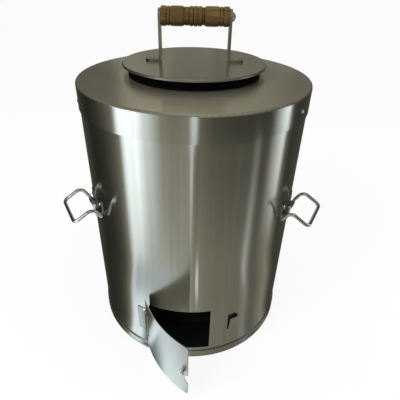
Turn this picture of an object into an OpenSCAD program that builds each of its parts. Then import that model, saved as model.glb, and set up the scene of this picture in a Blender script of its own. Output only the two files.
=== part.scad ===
// Charcoal tandoor: a steel drum round a clay fire pot, with a lift-off lid, an ash door and two bails.
// The origin is on the floor at the drum's axis, +Z is up and the ash door faces -Y.
// Azimuths are in degrees from -Y towards +X.

/* [Drum] */
// Outside diameter of the drum shell
drum_d = 406; // [390:2:430]
// Height of the top plane above the floor
drum_h = 526; // [500:2:570]
// Thickness of the shell's sheet
shell_t = 1.2; // [0.8:0.1:2]
// Width of the lap seam down the back
seam_w = 14; // [8:1:24]

/* [Base pan] */
// Height of the pan's turned-up band
pan_h = 20; // [14:1:21]
// Thickness of the pan's sheet
pan_t = 1.2; // [0.8:0.1:2]
// Stand-out of the rolled beads round the band
pan_bead_r = 1; // [0.6:0.1:1.6]
// Outside radius of the pan's bottom edge
pan_corner_r = 3; // [2:0.5:5]

/* [Top cover] */
// Depth of the cover's skirt below the top plane
skirt_h = 43; // [30:1:60]
// Thickness of the cover's sheet
cover_t = 1.2; // [0.8:0.1:2]
// Outside radius of the cover's shoulder
cover_corner_r = 4; // [3.5:0.5:8]
// Azimuth of the right-hand cover rivet, which has another opposite it
cover_rivet_right_az = 56; // [40:1:75]
// Azimuth of the left-hand cover rivet, which has another opposite it
cover_rivet_left_az = -66; // [-75:1:-40]
// Distance of the cover rivets below the top plane
cover_rivet_drop = 24; // [14:1:25]
// Rise of the cover from its shoulder to the flat seat round the mouth
cover_crown = 4; // [1:0.5:8]
// Width of the flat seat round the mouth
seat_w = 17; // [16:1:26]

/* [Mouth ring] */
// Outside diameter of the mouth ring's collar
mouth_d = 230; // [222:2:246]
// Thickness of the mouth ring's plate
mouth_t = 2.5; // [1.5:0.5:4]
// Rise of the collar above the top plane
mouth_rise = 22.5; // [16:0.1:30]
// Width of the flange that the cover holds down
mouth_flange_w = 13; // [8:1:20]

/* [Clay pot] */
// Wall of the clay pot
pot_t = 22; // [16:1:26]
// Room for insulation between the pot's belly and the drum's outside
belly_gap = 38; // [32:1:50]
// How much the pot's foot draws in from its belly
foot_draw = 14; // [6:1:24]
// Height of the pot's belly as a share of its height
belly_share = 0.28; // [0.2:0.02:0.4]
// Distance from the lid down to the pot's rim
rim_drop = 15; // [14:1:18]

/* [Coal grate] */
// Outside diameter of the grate, small enough for the pot's mouth
grate_d = 166; // [140:2:172]
// Height of the grate's ring above the hearth
grate_h = 64; // [40:2:90]
// Diameter of the grate's ring and legs
grate_ring_rod = 8; // [6:1:12]
// Diameter of the grate's bars
grate_bar_rod = 6; // [4:1:8]
// Distance between the grate's bars
grate_pitch = 18; // [14:1:30]

/* [Ash door] */
// Azimuth of the middle of the ash opening
opening_az = -6; // [-12:0.5:0]
// Width of the ash opening along the shell
opening_w = 122; // [100:2:132]
// Height of the ash opening
opening_h = 108; // [90:2:120]
// Height of the opening's sill above the floor
opening_z = 30; // [30:1:40]
// Lap of the door over the opening's free side
door_lap = 11; // [4:0.5:12]
// Lap of the door over the opening's top
door_top_lap = 21; // [4:0.5:24]
// Lap of the door over the opening's sill
door_sill_lap = 5; // [4:0.5:8]
// Lap of the door over the opening's hinged side
hinge_lap = 2; // [1:0.5:4]
// Thickness of the door's sheet
door_t = 1.2; // [1:0.1:2]
// How far the door stands open at rest
door_open = 46.5; // [0:0.5:90]
// Radius of the corners at the door's free edge
door_corner_r = 6; // [1:0.5:8]
// Radius of the notch's circle in the door's free edge
notch_r = 14; // [10:1:20]
// Depth of the notch
notch_depth = 7; // [2:0.5:8]
// Height of the notch above the floor
notch_z = 70; // [50:1:72]
// Diameter of the knob's head
knob_d = 12; // [10:0.5:16]
// Stand-out of the knob from the door
knob_h = 9; // [7:0.5:16]
// Distance of the knob from the door's free edge
knob_inset = 10; // [8:0.5:20]
// Thickness of the air duct's sheet
duct_t = 1.5; // [1:0.1:2.5]

/* [Door hinge] */
// Height of the hinge
hinge_l = 62; // [50:2:80]
// Knuckles along the hinge
hinge_knuckles = 5; // [3:2:7]
// Width of each leaf from the pin
leaf_w = 17; // [13:1:22]
// Thickness of the leaves
leaf_t = 1.5; // [1:0.1:2]
// Diameter of the hinge pin
hinge_pin_d = 3.5; // [2.5:0.5:4.5]
// Wall of the knuckles round the pin
knuckle_t = 1.7; // [1.3:0.1:2.5]
// Distance from the pin to the door's hinged edge
hinge_offset = 7; // [6:0.5:11]

/* [Keeper tab] */
// Azimuth of the middle of the lanced tab
keeper_az = 25; // [22:0.2:32]
// Width of the tab
keeper_w = 18; // [12:1:24]
// Height of the tab
keeper_h = 36; // [24:1:44]
// Height of the tab's uncut foot above the floor
keeper_z = 72; // [50:1:90]
// Stand-out of the tab's top edge
keeper_lift = 5.5; // [2:0.5:8]
// Width of the cut over the tab and on its near side
keeper_cut = 3; // [1.5:0.5:5]
// Width of the slit on the tab's far side
keeper_slit = 0.8; // [0.6:0.1:3]

/* [Side handles] */
// Azimuth of both side handles
handle_az = 61; // [54:1:75]
// Height of the bails' pivots
handle_z = 307; // [260:1:340]
// Distance between the legs of a bail
bail_w = 80; // [76:2:110]
// Diameter of the bails' rod
bail_rod = 6; // [5:0.5:7]
// Reach of a bail's grip from its pivot
bail_reach = 48; // [42:1:60]
// Height of a bail's grip over its pivot
bail_drop = 4; // [0:1:8]
// Reach of the hump in a bail's legs
hump_reach = 14; // [12:0.5:16]
// Height of the hump in a bail's legs
hump_rise = 22.7; // [19:0.1:26]
// Radius of the hump's bend
hump_bend_r = 12; // [8:0.5:13]
// Radius of the bends at a bail's corners
bail_bend_r = 9; // [7:0.5:12]
// Length of the tails that stop a bail against the shell
tail_l = 16; // [12:1:24]
// Width of each handle strap
strap_w = 17; // [14:1:19]
// Distance of a handle strap's middle from the handle's middle
strap_offset = 21; // [20:0.5:23]
// Thickness of the handle straps
strap_t = 1.5; // [1.2:0.1:2.5]
// Height of a strap above the pivot
strap_rise = 26; // [22:1:34]
// Height of a strap's rivet above the pivot
strap_rivet_rise = 17; // [13:1:20]

/* [Lid] */
// Diameter of the lid
lid_d = 250; // [244:2:290]
// Thickness of the lid's sheet
lid_t = 1.5; // [1:0.1:2.5]
// Depth of the lid's turned-down lip
lid_lip = 4; // [3:0.5:8]
// Depth of the locating ring under the lid
locating_h = 12; // [8:1:13]
// Thickness of the locating ring
locating_t = 1.2; // [0.8:0.1:2]

/* [Lid handle] */
// Length of the wooden grip
grip_l = 113; // [100:1:130]
// Largest diameter of the wooden grip
grip_d = 30.5; // [26:0.5:34]
// Depth of the grooves turned in the grip
groove_depth = 2.4; // [1:0.2:3.6]
// Height of the grip's axis above the lid
grip_rise = 69.5; // [55:0.1:90]
// Width of the grip straps
grip_strap_w = 24; // [16:1:26]
// Thickness of the grip straps
grip_strap_t = 4; // [2:0.5:5]
// Length of the straps' feet
foot_l = 24; // [20:1:30]
// Inside radius of the bend above the feet
foot_bend_r = 3; // [2:0.5:5]
// Diameter of the grip bolt
bolt_d = 6; // [5:0.5:8]
// Diameter of the grip bolt's domed head
bolt_head_d = 16; // [12:0.5:20]
// Height of the grip bolt's domed head
bolt_head_h = 6; // [3:0.5:8]

/* [Rivets] */
// Diameter of the rivets' shanks
rivet_d = 4; // [3:0.5:5]
// Diameter of the rivets' heads
rivet_head_d = 8; // [7:0.5:9]
// Height of the rivets' domed heads
rivet_head_h = 2; // [1.4:0.1:3]
// Diameter of the rivets' closed ends
rivet_tail_d = 6.5; // [6:0.5:8]
// Thickness of the rivets' closed ends
rivet_tail_h = 1; // [0.6:0.1:1.4]

/* [Fits] */
// Gap under a piece that seats on a curved face, and round a rivet's shank
seat_gap = 0.1; // [0.05:0.05:0.2]
// Radial clearance of pins and rods in their eyes
pin_gap = 0.06; // [0.03:0.01:0.1]
// Gap between pieces that move past each other, or that are laid in by hand
run_gap = 0.3; // [0.2:0.05:0.5]
// Gap between the shell and the pan's band
pan_gap = 0.2; // [0.1:0.1:0.6]
// Gap between the shell and the cover's skirt
cover_gap = 0.8; // [0.4:0.1:1.2]
// Gap between the door and the shell
door_gap = 0.6; // [0.4:0.1:1.2]
// Gap between the mouth ring and what goes inside it
ring_gap = 1.2; // [0.8:0.1:2]
// Gap between the insulation and the shell, which the rivets' ends need
fill_gap = 2.5; // [2:0.5:5]

/* [Hidden] */
$fn = 96;
// Overshoot of cutting shapes past the faces that they cut
cut = 1;
// Facets round a rod and its bends in a quick view
ROD_FN = 32;
// Overlap of a rod's straight lengths with its bends, and the bends' slight swelling that covers it
BEND_LAP = 0.3;
BEND_SWELL = 0.02;

// The door's corners are cut by circles a little larger than their radius, so that they cross its edges
CORNER_CROSSING = 1.04;
// How far the keeper tab's root reaches down into the shell's wall, and how far it stays inside its faces
TAB_ROOT_DEPTH = 0.5;
TAB_ROOT_INSET = 0.15;

// Radii and heights of the drum
drum_r = drum_d / 2;
shell_in_r = drum_r - shell_t;
pan_r = drum_r + pan_gap + pan_t;
cover_r = drum_r + cover_gap + cover_t;
cover_low_z = drum_h - skirt_h;
under_cover_z = drum_h - cover_t;
under_seat_z = under_cover_z + cover_crown;
shoulder_r = cover_r - cover_corner_r;
shoulder_z = drum_h - cover_corner_r;
shoulder_room = pow(cover_corner_r - cover_t, 2) - pow(drum_r - shoulder_r, 2);
shell_top_z = shoulder_z + sqrt(max(0, shoulder_room)) - seat_gap;
fill_r = shell_in_r - fill_gap;
// The shell stands just clear of the bend at the pan's bottom edge, and the hearth lies inside that bend
shell_foot_z = pan_corner_r;
hearth_r = min(shell_in_r, pan_r - pan_corner_r) - run_gap;

// Mouth and lid
mouth_r = mouth_d / 2;
mouth_in_r = mouth_r - mouth_t;
seat_r = mouth_r + seat_w;
ring_foot_z = under_seat_z - mouth_t;
mouth_top_z = drum_h + mouth_rise;
lid_r = lid_d / 2;
lid_top_z = mouth_top_z + lid_t;
lid_corner_r = lid_t + 0.5;

// Clay pot and hearth
hearth_z = opening_z - duct_t;
rim_z = mouth_top_z - rim_drop;
belly_r = drum_r - belly_gap;
foot_r = belly_r - foot_draw;
neck_r = mouth_in_r - ring_gap;
POT_STEPS = 18;

// Ash opening, door and hinge
opening_half = deg_at(opening_w / 2, drum_r);
opening_top = opening_z + opening_h;
duct_half_w = shell_in_r * sin(opening_half);
door_in_r = drum_r + door_gap;
door_out_r = door_in_r + door_t;
door_from = opening_az - opening_half - deg_at(hinge_lap, drum_r);
door_to = opening_az + opening_half + deg_at(door_lap, drum_r);
door_low = opening_z - door_sill_lap;
door_high = opening_top + door_top_lap;
door_mid_z = (door_low + door_high) / 2;
knuckle_r = hinge_pin_d / 2 + knuckle_t;
knuckle_l = hinge_l / hinge_knuckles;
hinge_r = drum_r + knuckle_r + run_gap;
hinge_az = door_from - deg_at(hinge_offset, drum_r);
hinge_low = door_mid_z - hinge_l / 2;
knob_az = door_to - deg_at(knob_inset, door_out_r);
knob_bore = knob_h / 2;
countersink_d = rivet_d + 2 * door_t;

// Side handles
strap_seat_r = drum_r + seat_gap;
strap_out_r = strap_seat_r + strap_t;
strap_angle = asin(strap_offset / strap_out_r);
pivot_r = strap_out_r * cos(strap_angle) + bail_rod / 2 + pin_gap;
eye_r = bail_rod / 2 + pin_gap + strap_t;
eye_bend_r = bail_rod / 2 + 2;
tail_at = strap_offset - strap_w / 2 - eye_bend_r - 1;

// Lid handle
grip_z = lid_top_z + grip_rise;
strap_x = grip_l / 2 + run_gap;
foot_top_z = lid_top_z + grip_strap_t;
foot_rivet_x = strap_x + grip_strap_t + foot_l - grip_strap_w / 2;
groove_r = grip_d / 2 - groove_depth;
// Turned profile of the grip from its left end: each bead's share of the length, and its height
// as a share of the grooves' depth
GRIP_BEADS = [
  [9, 1], [5, 0.8], [22, 1], [8, 0.45], [6.5, 0.9], [6.5, 1],
  [6.5, 0.9], [4, 0.2], [23, 1], [5, 0.8], [10, 1]
];
BEAD_STEPS = 8;

// Degrees round a circle of radius r that an arc of length l takes
function deg_at(l, r) = l / r * 180 / PI;
function unit(v) = v / norm(v);
function reversed(list) = [for (i = [len(list) - 1:-1:0]) list[i]];
// Sum of the first n bead lengths
function beads_length(n) = n == 0 ? 0 : GRIP_BEADS[n - 1][0] + beads_length(n - 1);

// Outside radius of the clay pot at height z: a foot that swells to the belly, then draws in to the neck
function pot_r(z) =
  let (u = (z - hearth_z) / (rim_z - hearth_z))
  u < belly_share
    ? foot_r + (belly_r - foot_r) * sin(90 * u / belly_share)
    : neck_r + (belly_r - neck_r) * (0.5 + 0.5 * cos(180 * (u - belly_share) / (1 - belly_share)));

// Points up the pot's side from height low to high, moved outwards by grow
function pot_side(low, high, grow) = [
  for (i = [0:POT_STEPS])
    let (z = low + (high - low) * i / POT_STEPS)
    [pot_r(z) + grow, z]
];

// Points along the turned grip, as radius and distance from its left end
function grip_side() = [
  for (b = [0:len(GRIP_BEADS) - 1])
    let (scale_l = grip_l / beads_length(len(GRIP_BEADS)))
    let (start = beads_length(b) * scale_l)
    let (length = GRIP_BEADS[b][0] * scale_l)
    let (crown = GRIP_BEADS[b][1] * groove_depth)
    for (i = [0:BEAD_STEPS - 1])
      [groove_r + crown * sqrt(sin(180 * i / BEAD_STEPS)), start + length * i / BEAD_STEPS]
];

// Points along one half of a bail's rod, from the end of its tail to its corner
function half_bail(side) = [
  [drum_r + bail_rod / 2 + run_gap, side * tail_at, handle_z - tail_l],
  [pivot_r, side * tail_at, handle_z],
  [pivot_r, side * bail_w / 2, handle_z],
  [pivot_r + hump_reach, side * bail_w / 2, handle_z + hump_rise],
  [pivot_r + bail_reach, side * bail_w / 2, handle_z + bail_drop]
];

// Places children at azimuth az, with local +X pointing out of the drum
module at_azimuth(az) {
  rotate([0, 0, az - 90]) children();
}

// Segment of a ring from local +X round towards +Y
module ring_segment(r1, r2, z1, z2, angle) {
  rotate_extrude(angle = angle) translate([r1, z1]) square([r2 - r1, z2 - z1]);
}

// Section of a sheet's bend: a quarter ring in the quadrant of positive coordinates
module bend_section(r, t) {
  intersection() {
    difference() {
      circle(r);
      circle(r - t);
    }
    square(r);
  }
}

// Spherical cap with its flat side down on z = 0
module dome(d, h) {
  sphere_r = (d * d / 4 + h * h) / (2 * h);
  intersection() {
    translate([0, 0, h - sphere_r]) sphere(sphere_r);
    cylinder(r = d, h = h);
  }
}

// Rivet through sheets of total thickness grip, with its head's seat at z = 0
module rivet(grip) {
  dome(rivet_head_d, rivet_head_h);
  translate([0, 0, -grip]) cylinder(d = rivet_d, h = grip);
  translate([0, 0, -grip - rivet_tail_h]) cylinder(d = rivet_tail_d, h = rivet_tail_h);
}

// Turns children so that their +Z points out of the drum from radius r
module radial(az, r, z) {
  at_azimuth(az) translate([r, 0, z]) rotate([0, 90, 0]) children();
}

// Radial hole for a rivet through the sheets at the shell
module rivet_hole(az, z) {
  radial(az, shell_in_r - cut, z) cylinder(d = rivet_d + 2 * seat_gap, h = cover_r - shell_in_r + 3 * cut);
}

// Places children at each of the four cover rivets
module each_cover_rivet() {
  for (az = [cover_rivet_right_az, cover_rivet_left_az])
    for (turn = [0, 180])
      rotate([0, 0, az + turn]) children();
}

// Straight round rod from one point to another
module rod_between(from, to, d) {
  along = unit(to - from);
  side = unit(cross(along, abs(along[0]) < 0.9 ? [1, 0, 0] : [0, 1, 0]));
  up = cross(along, side);
  multmatrix([
    [side[0], up[0], along[0], from[0]],
    [side[1], up[1], along[1], from[1]],
    [side[2], up[2], along[2], from[2]],
    [0, 0, 0, 1]
  ])
    cylinder(d = d, h = norm(to - from), $fn = ROD_FN);
}

// Round rod through a list of points, with a bend of its own radius at each inner point
module bent_rod(points, radii, d) {
  last = len(points) - 1;
  function heading(i) = unit(points[i + 1] - points[i]);
  function turn(i) = acos(heading(i - 1) * heading(i));
  // How far a straight length stops short of its end's corner, which is a little inside the bend
  function setback(i) = i == 0 || i == last ? 0 : radii[i] * tan(turn(i) / 2);
  function short(i) = i == 0 || i == last ? 0 : setback(i) - BEND_LAP;
  for (i = [0:last - 1])
    rod_between(points[i] + heading(i) * short(i), points[i + 1] - heading(i) * short(i + 1), d);
  for (i = [1:last - 1]) {
    along = heading(i - 1);
    side = unit(heading(i) - (heading(i) * along) * along);
    up = cross(-side, along);
    middle = points[i] - along * setback(i) + side * radii[i];
    multmatrix([
      [-side[0], along[0], up[0], middle[0]],
      [-side[1], along[1], up[1], middle[1]],
      [-side[2], along[2], up[2], middle[2]],
      [0, 0, 0, 1]
    ])
      rotate_extrude(angle = turn(i), $fn = ROD_FN)
        translate([radii[i], 0]) circle(d = d + 2 * BEND_SWELL, $fn = ROD_FN);
  }
}

// Space that the air duct takes, grown on all sides
module duct_space(grow) {
  half_w = duct_half_w + duct_t + grow;
  at_azimuth(opening_az)
    translate([foot_r / 2, -half_w, hearth_z - grow])
      cube([drum_r - foot_r / 2, 2 * half_w, opening_h + 2 * duct_t + 2 * grow]);
}

// Swings children from the closed door's place to the open one
module swung_open() {
  pin = [hinge_r * sin(hinge_az), -hinge_r * cos(hinge_az), 0];
  translate(pin) rotate([0, 0, -door_open]) translate(-pin) children();
}

// Round bar on the hinge's axis between two heights
module on_hinge(r, z1, z2) {
  at_azimuth(hinge_az) translate([hinge_r, 0, z1]) cylinder(r = r, h = z2 - z1);
}

// Leaf of the hinge with every second knuckle from first, on sheet that lies at radius r
module hinge_leaf(r, first, side) {
  turn = side * deg_at(leaf_w, r);
  difference() {
    union() {
      difference() {
        at_azimuth(hinge_az + min(0, turn))
          ring_segment(r, r + leaf_t, hinge_low, hinge_low + hinge_l, abs(turn));
        for (k = [1 - first:2:hinge_knuckles - 1])
          on_hinge(knuckle_r + run_gap, hinge_low + k * knuckle_l - run_gap / 2, hinge_low + (k + 1) * knuckle_l + run_gap / 2);
      }
      for (k = [first:2:hinge_knuckles - 1])
        on_hinge(knuckle_r, hinge_low + k * knuckle_l + run_gap / 2, hinge_low + (k + 1) * knuckle_l - run_gap / 2);
    }
    on_hinge(hinge_pin_d / 2 + pin_gap, hinge_low - cut, hinge_low + hinge_l + cut);
  }
}

module base_pan() {
  color("silver")
    rotate_extrude() {
      square([pan_r - pan_corner_r, pan_t]);
      translate([pan_r - pan_corner_r, pan_corner_r]) mirror([0, 1]) bend_section(pan_corner_r, pan_t);
      translate([pan_r - pan_t, pan_corner_r]) square([pan_t, pan_h - pan_corner_r]);
      difference() {
        for (z = [pan_corner_r + pan_bead_r, pan_h - pan_bead_r])
          translate([pan_r, z]) circle(pan_bead_r, $fn = ROD_FN);
        square([pan_r - pan_t / 2, pan_h]);
      }
    }
}

module hearth_slab() {
  color("tan")
    translate([0, 0, pan_t]) cylinder(r = hearth_r, h = hearth_z - pan_t);
}

module clay_pot() {
  rim_r = pot_t / 2;
  side_top = rim_z - rim_r;
  color("sienna")
    difference() {
      rotate_extrude() {
        polygon(concat(pot_side(hearth_z, side_top, 0), reversed(pot_side(hearth_z, side_top, -pot_t))));
        translate([neck_r - rim_r, side_top]) circle(rim_r);
      }
      duct_space(run_gap);
    }
}

module insulation_fill() {
  color("gainsboro")
    difference() {
      rotate_extrude()
        polygon(concat(
          pot_side(hearth_z, ring_foot_z, run_gap),
          [[seat_r, ring_foot_z], [fill_r, under_cover_z - mouth_t], [fill_r, hearth_z]]
        ));
      duct_space(run_gap);
    }
}

module air_duct() {
  color("dimgray")
    difference() {
      intersection() {
        duct_space(0);
        cylinder(r = shell_in_r - seat_gap, h = drum_h);
      }
      at_azimuth(opening_az)
        translate([0, -duct_half_w, opening_z]) cube([drum_r, 2 * duct_half_w, opening_h]);
      rotate_extrude()
        polygon(concat([[0, 0], [foot_r - pot_t / 2, 0]], pot_side(hearth_z, rim_z, -pot_t / 2), [[0, rim_z]]));
    }
}

module coal_grate() {
  ring_r = (grate_d - grate_ring_rod) / 2;
  ring_z = hearth_z + grate_h;
  bars_each_side = floor((ring_r - grate_bar_rod) / grate_pitch);
  color("dimgray") {
    translate([0, 0, ring_z])
      rotate_extrude() translate([ring_r, 0]) circle(d = grate_ring_rod, $fn = ROD_FN);
    for (i = [-bars_each_side:bars_each_side]) {
      half_bar = sqrt(pow(ring_r, 2) - pow(i * grate_pitch, 2));
      translate([-half_bar, i * grate_pitch, ring_z])
        rotate([0, 90, 0]) cylinder(d = grate_bar_rod, h = 2 * half_bar, $fn = ROD_FN);
    }
    for (az = [60, 180, 300])
      at_azimuth(az)
        translate([ring_r, 0, hearth_z]) cylinder(d = grate_ring_rod, h = grate_h, $fn = ROD_FN);
  }
}

module keeper_tab() {
  half = deg_at(keeper_w / 2, drum_r);
  top = keeper_z + keeper_h;
  root = keeper_z - TAB_ROOT_DEPTH;
  at_azimuth(keeper_az - half)
    rotate_extrude(angle = 2 * half)
      polygon([
        [shell_in_r + TAB_ROOT_INSET, root], [drum_r - TAB_ROOT_INSET, root],
        [drum_r + keeper_lift, top], [shell_in_r + keeper_lift, top]
      ]);
}

module drum_shell() {
  seam_half = deg_at(seam_w / 2, drum_r);
  window_from = keeper_az - deg_at(keeper_w / 2 + keeper_cut, drum_r);
  window_to = keeper_az + deg_at(keeper_w / 2 + keeper_slit, drum_r);
  color("lightsteelblue") {
    difference() {
      union() {
        rotate_extrude()
          translate([shell_in_r, shell_foot_z]) square([shell_t, shell_top_z - shell_foot_z]);
        at_azimuth(180 - seam_half)
          ring_segment(drum_r - shell_t / 2, drum_r + shell_t, pan_h + cut, cover_low_z - cut, 2 * seam_half);
      }
      at_azimuth(opening_az - opening_half)
        ring_segment(shell_in_r - cut, drum_r + cut, opening_z, opening_top, 2 * opening_half);
      at_azimuth(window_from)
        ring_segment(shell_in_r - cut, drum_r + cut, keeper_z, keeper_z + keeper_h + keeper_cut, window_to - window_from);
      each_cover_rivet() rivet_hole(0, drum_h - cover_rivet_drop);
      for (side = [-1, 1])
        for (strap = [-strap_angle, strap_angle])
          rivet_hole(side * handle_az + strap, handle_z + strap_rivet_rise);
    }
    keeper_tab();
  }
}

module top_cover() {
  color("lightsteelblue")
    difference() {
      rotate_extrude() {
        polygon([
          [mouth_r + run_gap, under_seat_z], [seat_r, under_seat_z], [shoulder_r, under_cover_z],
          [shoulder_r, drum_h], [seat_r, drum_h + cover_crown], [mouth_r + run_gap, drum_h + cover_crown]
        ]);
        translate([shoulder_r, shoulder_z]) bend_section(cover_corner_r, cover_t);
        translate([cover_r - cover_t, cover_low_z]) square([cover_t, shoulder_z - cover_low_z]);
      }
      each_cover_rivet() rivet_hole(0, drum_h - cover_rivet_drop);
    }
}

module cover_rivets() {
  color("whitesmoke")
    each_cover_rivet()
      radial(0, cover_r, drum_h - cover_rivet_drop) rivet(cover_r - shell_in_r + seat_gap);
}

module mouth_ring() {
  color("black")
    rotate_extrude() {
      translate([mouth_in_r, ring_foot_z]) square([mouth_t, mouth_top_z - ring_foot_z]);
      translate([mouth_r, ring_foot_z]) square([mouth_flange_w, mouth_t]);
    }
}

module drum_hinge_leaf() {
  color("silver") hinge_leaf(drum_r + seat_gap, 0, -1);
}

module door_hinge_leaf() {
  color("silver") swung_open() hinge_leaf(door_out_r + seat_gap, 1, 1);
}

module hinge_pin() {
  head_h = 1.2;
  color("gainsboro") {
    on_hinge(hinge_pin_d / 2, hinge_low, hinge_low + hinge_l);
    on_hinge(knuckle_r - 0.5, hinge_low - head_h, hinge_low);
    on_hinge(knuckle_r - 0.5, hinge_low + hinge_l, hinge_low + hinge_l + head_h);
  }
}

module door_panel() {
  corner_az = door_to - deg_at(door_corner_r, door_out_r);
  color("lightblue")
    swung_open()
      difference() {
        at_azimuth(door_from)
          ring_segment(door_in_r, door_out_r, door_low, door_high, door_to - door_from);
        for (end = [[door_low + door_corner_r, 0], [door_high - door_corner_r, 1]])
          radial(corner_az, door_in_r - cut, end[0])
            mirror([end[1], 0, 0])
              linear_extrude(door_t + 2 * cut)
                difference() {
                  square(2 * door_corner_r);
                  circle(door_corner_r * CORNER_CROSSING);
                }
        radial(door_to + deg_at(notch_r - notch_depth, door_out_r), door_in_r - 2 * cut, notch_z)
          cylinder(r = notch_r, h = door_t + 5 * cut);
        radial(knob_az, door_in_r - seat_gap, door_mid_z)
          cylinder(d1 = countersink_d + 2 * seat_gap, d2 = rivet_d + 2 * seat_gap, h = door_t);
        radial(knob_az, door_in_r, door_mid_z) cylinder(d = rivet_d + 2 * seat_gap, h = door_t + cut);
      }
}

module door_knob() {
  color("gainsboro")
    swung_open()
      radial(knob_az, door_out_r, door_mid_z)
        difference() {
          union() {
            cylinder(d = knob_d * 0.6, h = knob_h * 0.5);
            translate([0, 0, knob_h * 0.3]) cylinder(d1 = knob_d * 0.6, d2 = knob_d, h = knob_h * 0.3);
            translate([0, 0, knob_h * 0.6]) dome(knob_d, knob_h * 0.4);
          }
          translate([0, 0, -cut]) cylinder(d = rivet_d + 2 * seat_gap, h = knob_bore + cut);
        }
}

module knob_rivet() {
  color("gray")
    swung_open()
      radial(knob_az, door_in_r, door_mid_z) {
        cylinder(d1 = countersink_d, d2 = rivet_d, h = door_t - seat_gap);
        cylinder(d = rivet_d, h = door_t + knob_bore);
      }
}

module right_handle_straps() {
  half = deg_at(strap_w / 2, strap_out_r);
  color("silver")
    difference() {
      at_azimuth(handle_az)
        difference() {
          for (side = [-1, 1]) {
            rotate([0, 0, side * strap_angle - half])
              ring_segment(strap_seat_r, strap_out_r, handle_z, handle_z + strap_rise, 2 * half);
            translate([pivot_r, side * strap_offset + strap_w / 2, handle_z])
              rotate([90, 0, 0]) cylinder(r = eye_r, h = strap_w);
          }
          translate([pivot_r, bail_w / 2, handle_z])
            rotate([90, 0, 0]) cylinder(d = bail_rod + 2 * pin_gap, h = bail_w);
          translate([0, 0, handle_z - eye_r - cut]) cylinder(r = strap_seat_r, h = 2 * eye_r + strap_rise);
        }
      for (strap = [-strap_angle, strap_angle])
        rivet_hole(handle_az + strap, handle_z + strap_rivet_rise);
    }
}

module left_handle_straps() {
  mirror([1, 0, 0]) right_handle_straps();
}

module handle_rivets() {
  color("whitesmoke")
    for (side = [-1, 1])
      for (strap = [-strap_angle, strap_angle])
        radial(side * handle_az + strap, strap_out_r, handle_z + strap_rivet_rise)
          rivet(strap_out_r - shell_in_r + seat_gap);
}

module right_bail() {
  points = concat(half_bail(-1), reversed(half_bail(1)));
  radii_half = [0, eye_bend_r, eye_bend_r, hump_bend_r, bail_bend_r];
  color("gainsboro")
    at_azimuth(handle_az) bent_rod(points, concat(radii_half, reversed(radii_half)), bail_rod);
}

module left_bail() {
  mirror([1, 0, 0]) right_bail();
}

module lid_disc() {
  color("lightsteelblue")
    difference() {
      rotate_extrude() {
        translate([0, mouth_top_z]) square([lid_r - lid_corner_r, lid_t]);
        translate([lid_r - lid_corner_r, lid_top_z - lid_corner_r]) bend_section(lid_corner_r, lid_t);
        translate([lid_r - lid_t, lid_top_z - lid_lip]) square([lid_t, lid_lip - lid_corner_r]);
      }
      for (side = [-1, 1])
        translate([side * foot_rivet_x, 0, mouth_top_z - cut])
          cylinder(d = rivet_d + 2 * seat_gap, h = lid_t + 2 * cut);
    }
}

module lid_locating_ring() {
  // The ring fits inside both the mouth and the lid's lip
  ring_r = min(mouth_in_r, lid_r - lid_t) - ring_gap;
  color("silver")
    translate([0, 0, mouth_top_z - locating_h])
      difference() {
        cylinder(r = ring_r, h = locating_h);
        translate([0, 0, -cut]) cylinder(r = ring_r - locating_t, h = locating_h + 2 * cut);
      }
}

// Right-hand strap, with a hole of diameter hole_d for the grip bolt
module grip_strap(hole_d) {
  bend_r = foot_bend_r + grip_strap_t;
  bend_x = strap_x + bend_r;
  bend_z = lid_top_z + bend_r;
  color("lightgray")
    difference() {
      union() {
        translate([strap_x, -grip_strap_w / 2, bend_z]) cube([grip_strap_t, grip_strap_w, grip_z - bend_z]);
        translate([strap_x, 0, grip_z]) rotate([0, 90, 0]) cylinder(d = grip_strap_w, h = grip_strap_t);
        translate([bend_x, grip_strap_w / 2, bend_z])
          rotate([90, 0, 0])
            linear_extrude(grip_strap_w) rotate(180) bend_section(bend_r, grip_strap_t);
        translate([bend_x, -grip_strap_w / 2, lid_top_z])
          cube([foot_rivet_x - bend_x, grip_strap_w, grip_strap_t]);
        translate([foot_rivet_x, 0, lid_top_z]) cylinder(d = grip_strap_w, h = grip_strap_t);
      }
      translate([strap_x - cut, 0, grip_z]) rotate([0, 90, 0]) cylinder(d = hole_d, h = grip_strap_t + 2 * cut);
      translate([foot_rivet_x, 0, lid_top_z - cut])
        cylinder(d = rivet_d + 2 * seat_gap, h = grip_strap_t + 2 * cut);
    }
}

module right_grip_strap() {
  grip_strap(bolt_d + 2 * pin_gap);
}

module left_grip_strap() {
  mirror([1, 0, 0]) grip_strap(bolt_d + 2 * pin_gap);
}

module strap_rivets() {
  color("whitesmoke")
    for (side = [-1, 1])
      translate([side * foot_rivet_x, 0, foot_top_z]) rivet(grip_strap_t + lid_t);
}

module grip_bolt() {
  outside_x = strap_x + grip_strap_t;
  color("gainsboro")
    translate([0, 0, grip_z])
      rotate([0, 90, 0]) {
        translate([0, 0, -outside_x]) cylinder(d = bolt_d, h = 2 * outside_x);
        translate([0, 0, outside_x]) dome(bolt_head_d, bolt_head_h);
      }
}

module wooden_grip() {
  bore_r = bolt_d / 2 + pin_gap;
  color("peru")
    translate([-grip_l / 2, 0, grip_z])
      rotate([0, 90, 0])
        rotate_extrude()
          polygon(concat([[bore_r, 0]], grip_side(), [[groove_r, grip_l], [bore_r, grip_l]]));
}

base_pan();
hearth_slab();
clay_pot();
insulation_fill();
air_duct();
coal_grate();
drum_shell();
top_cover();
cover_rivets();
mouth_ring();
drum_hinge_leaf();
hinge_pin();
door_hinge_leaf();
door_panel();
door_knob();
knob_rivet();
left_handle_straps();
right_handle_straps();
handle_rivets();
left_bail();
right_bail();
lid_disc();
lid_locating_ring();
left_grip_strap();
right_grip_strap();
strap_rivets();
grip_bolt();
wooden_grip();
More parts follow.
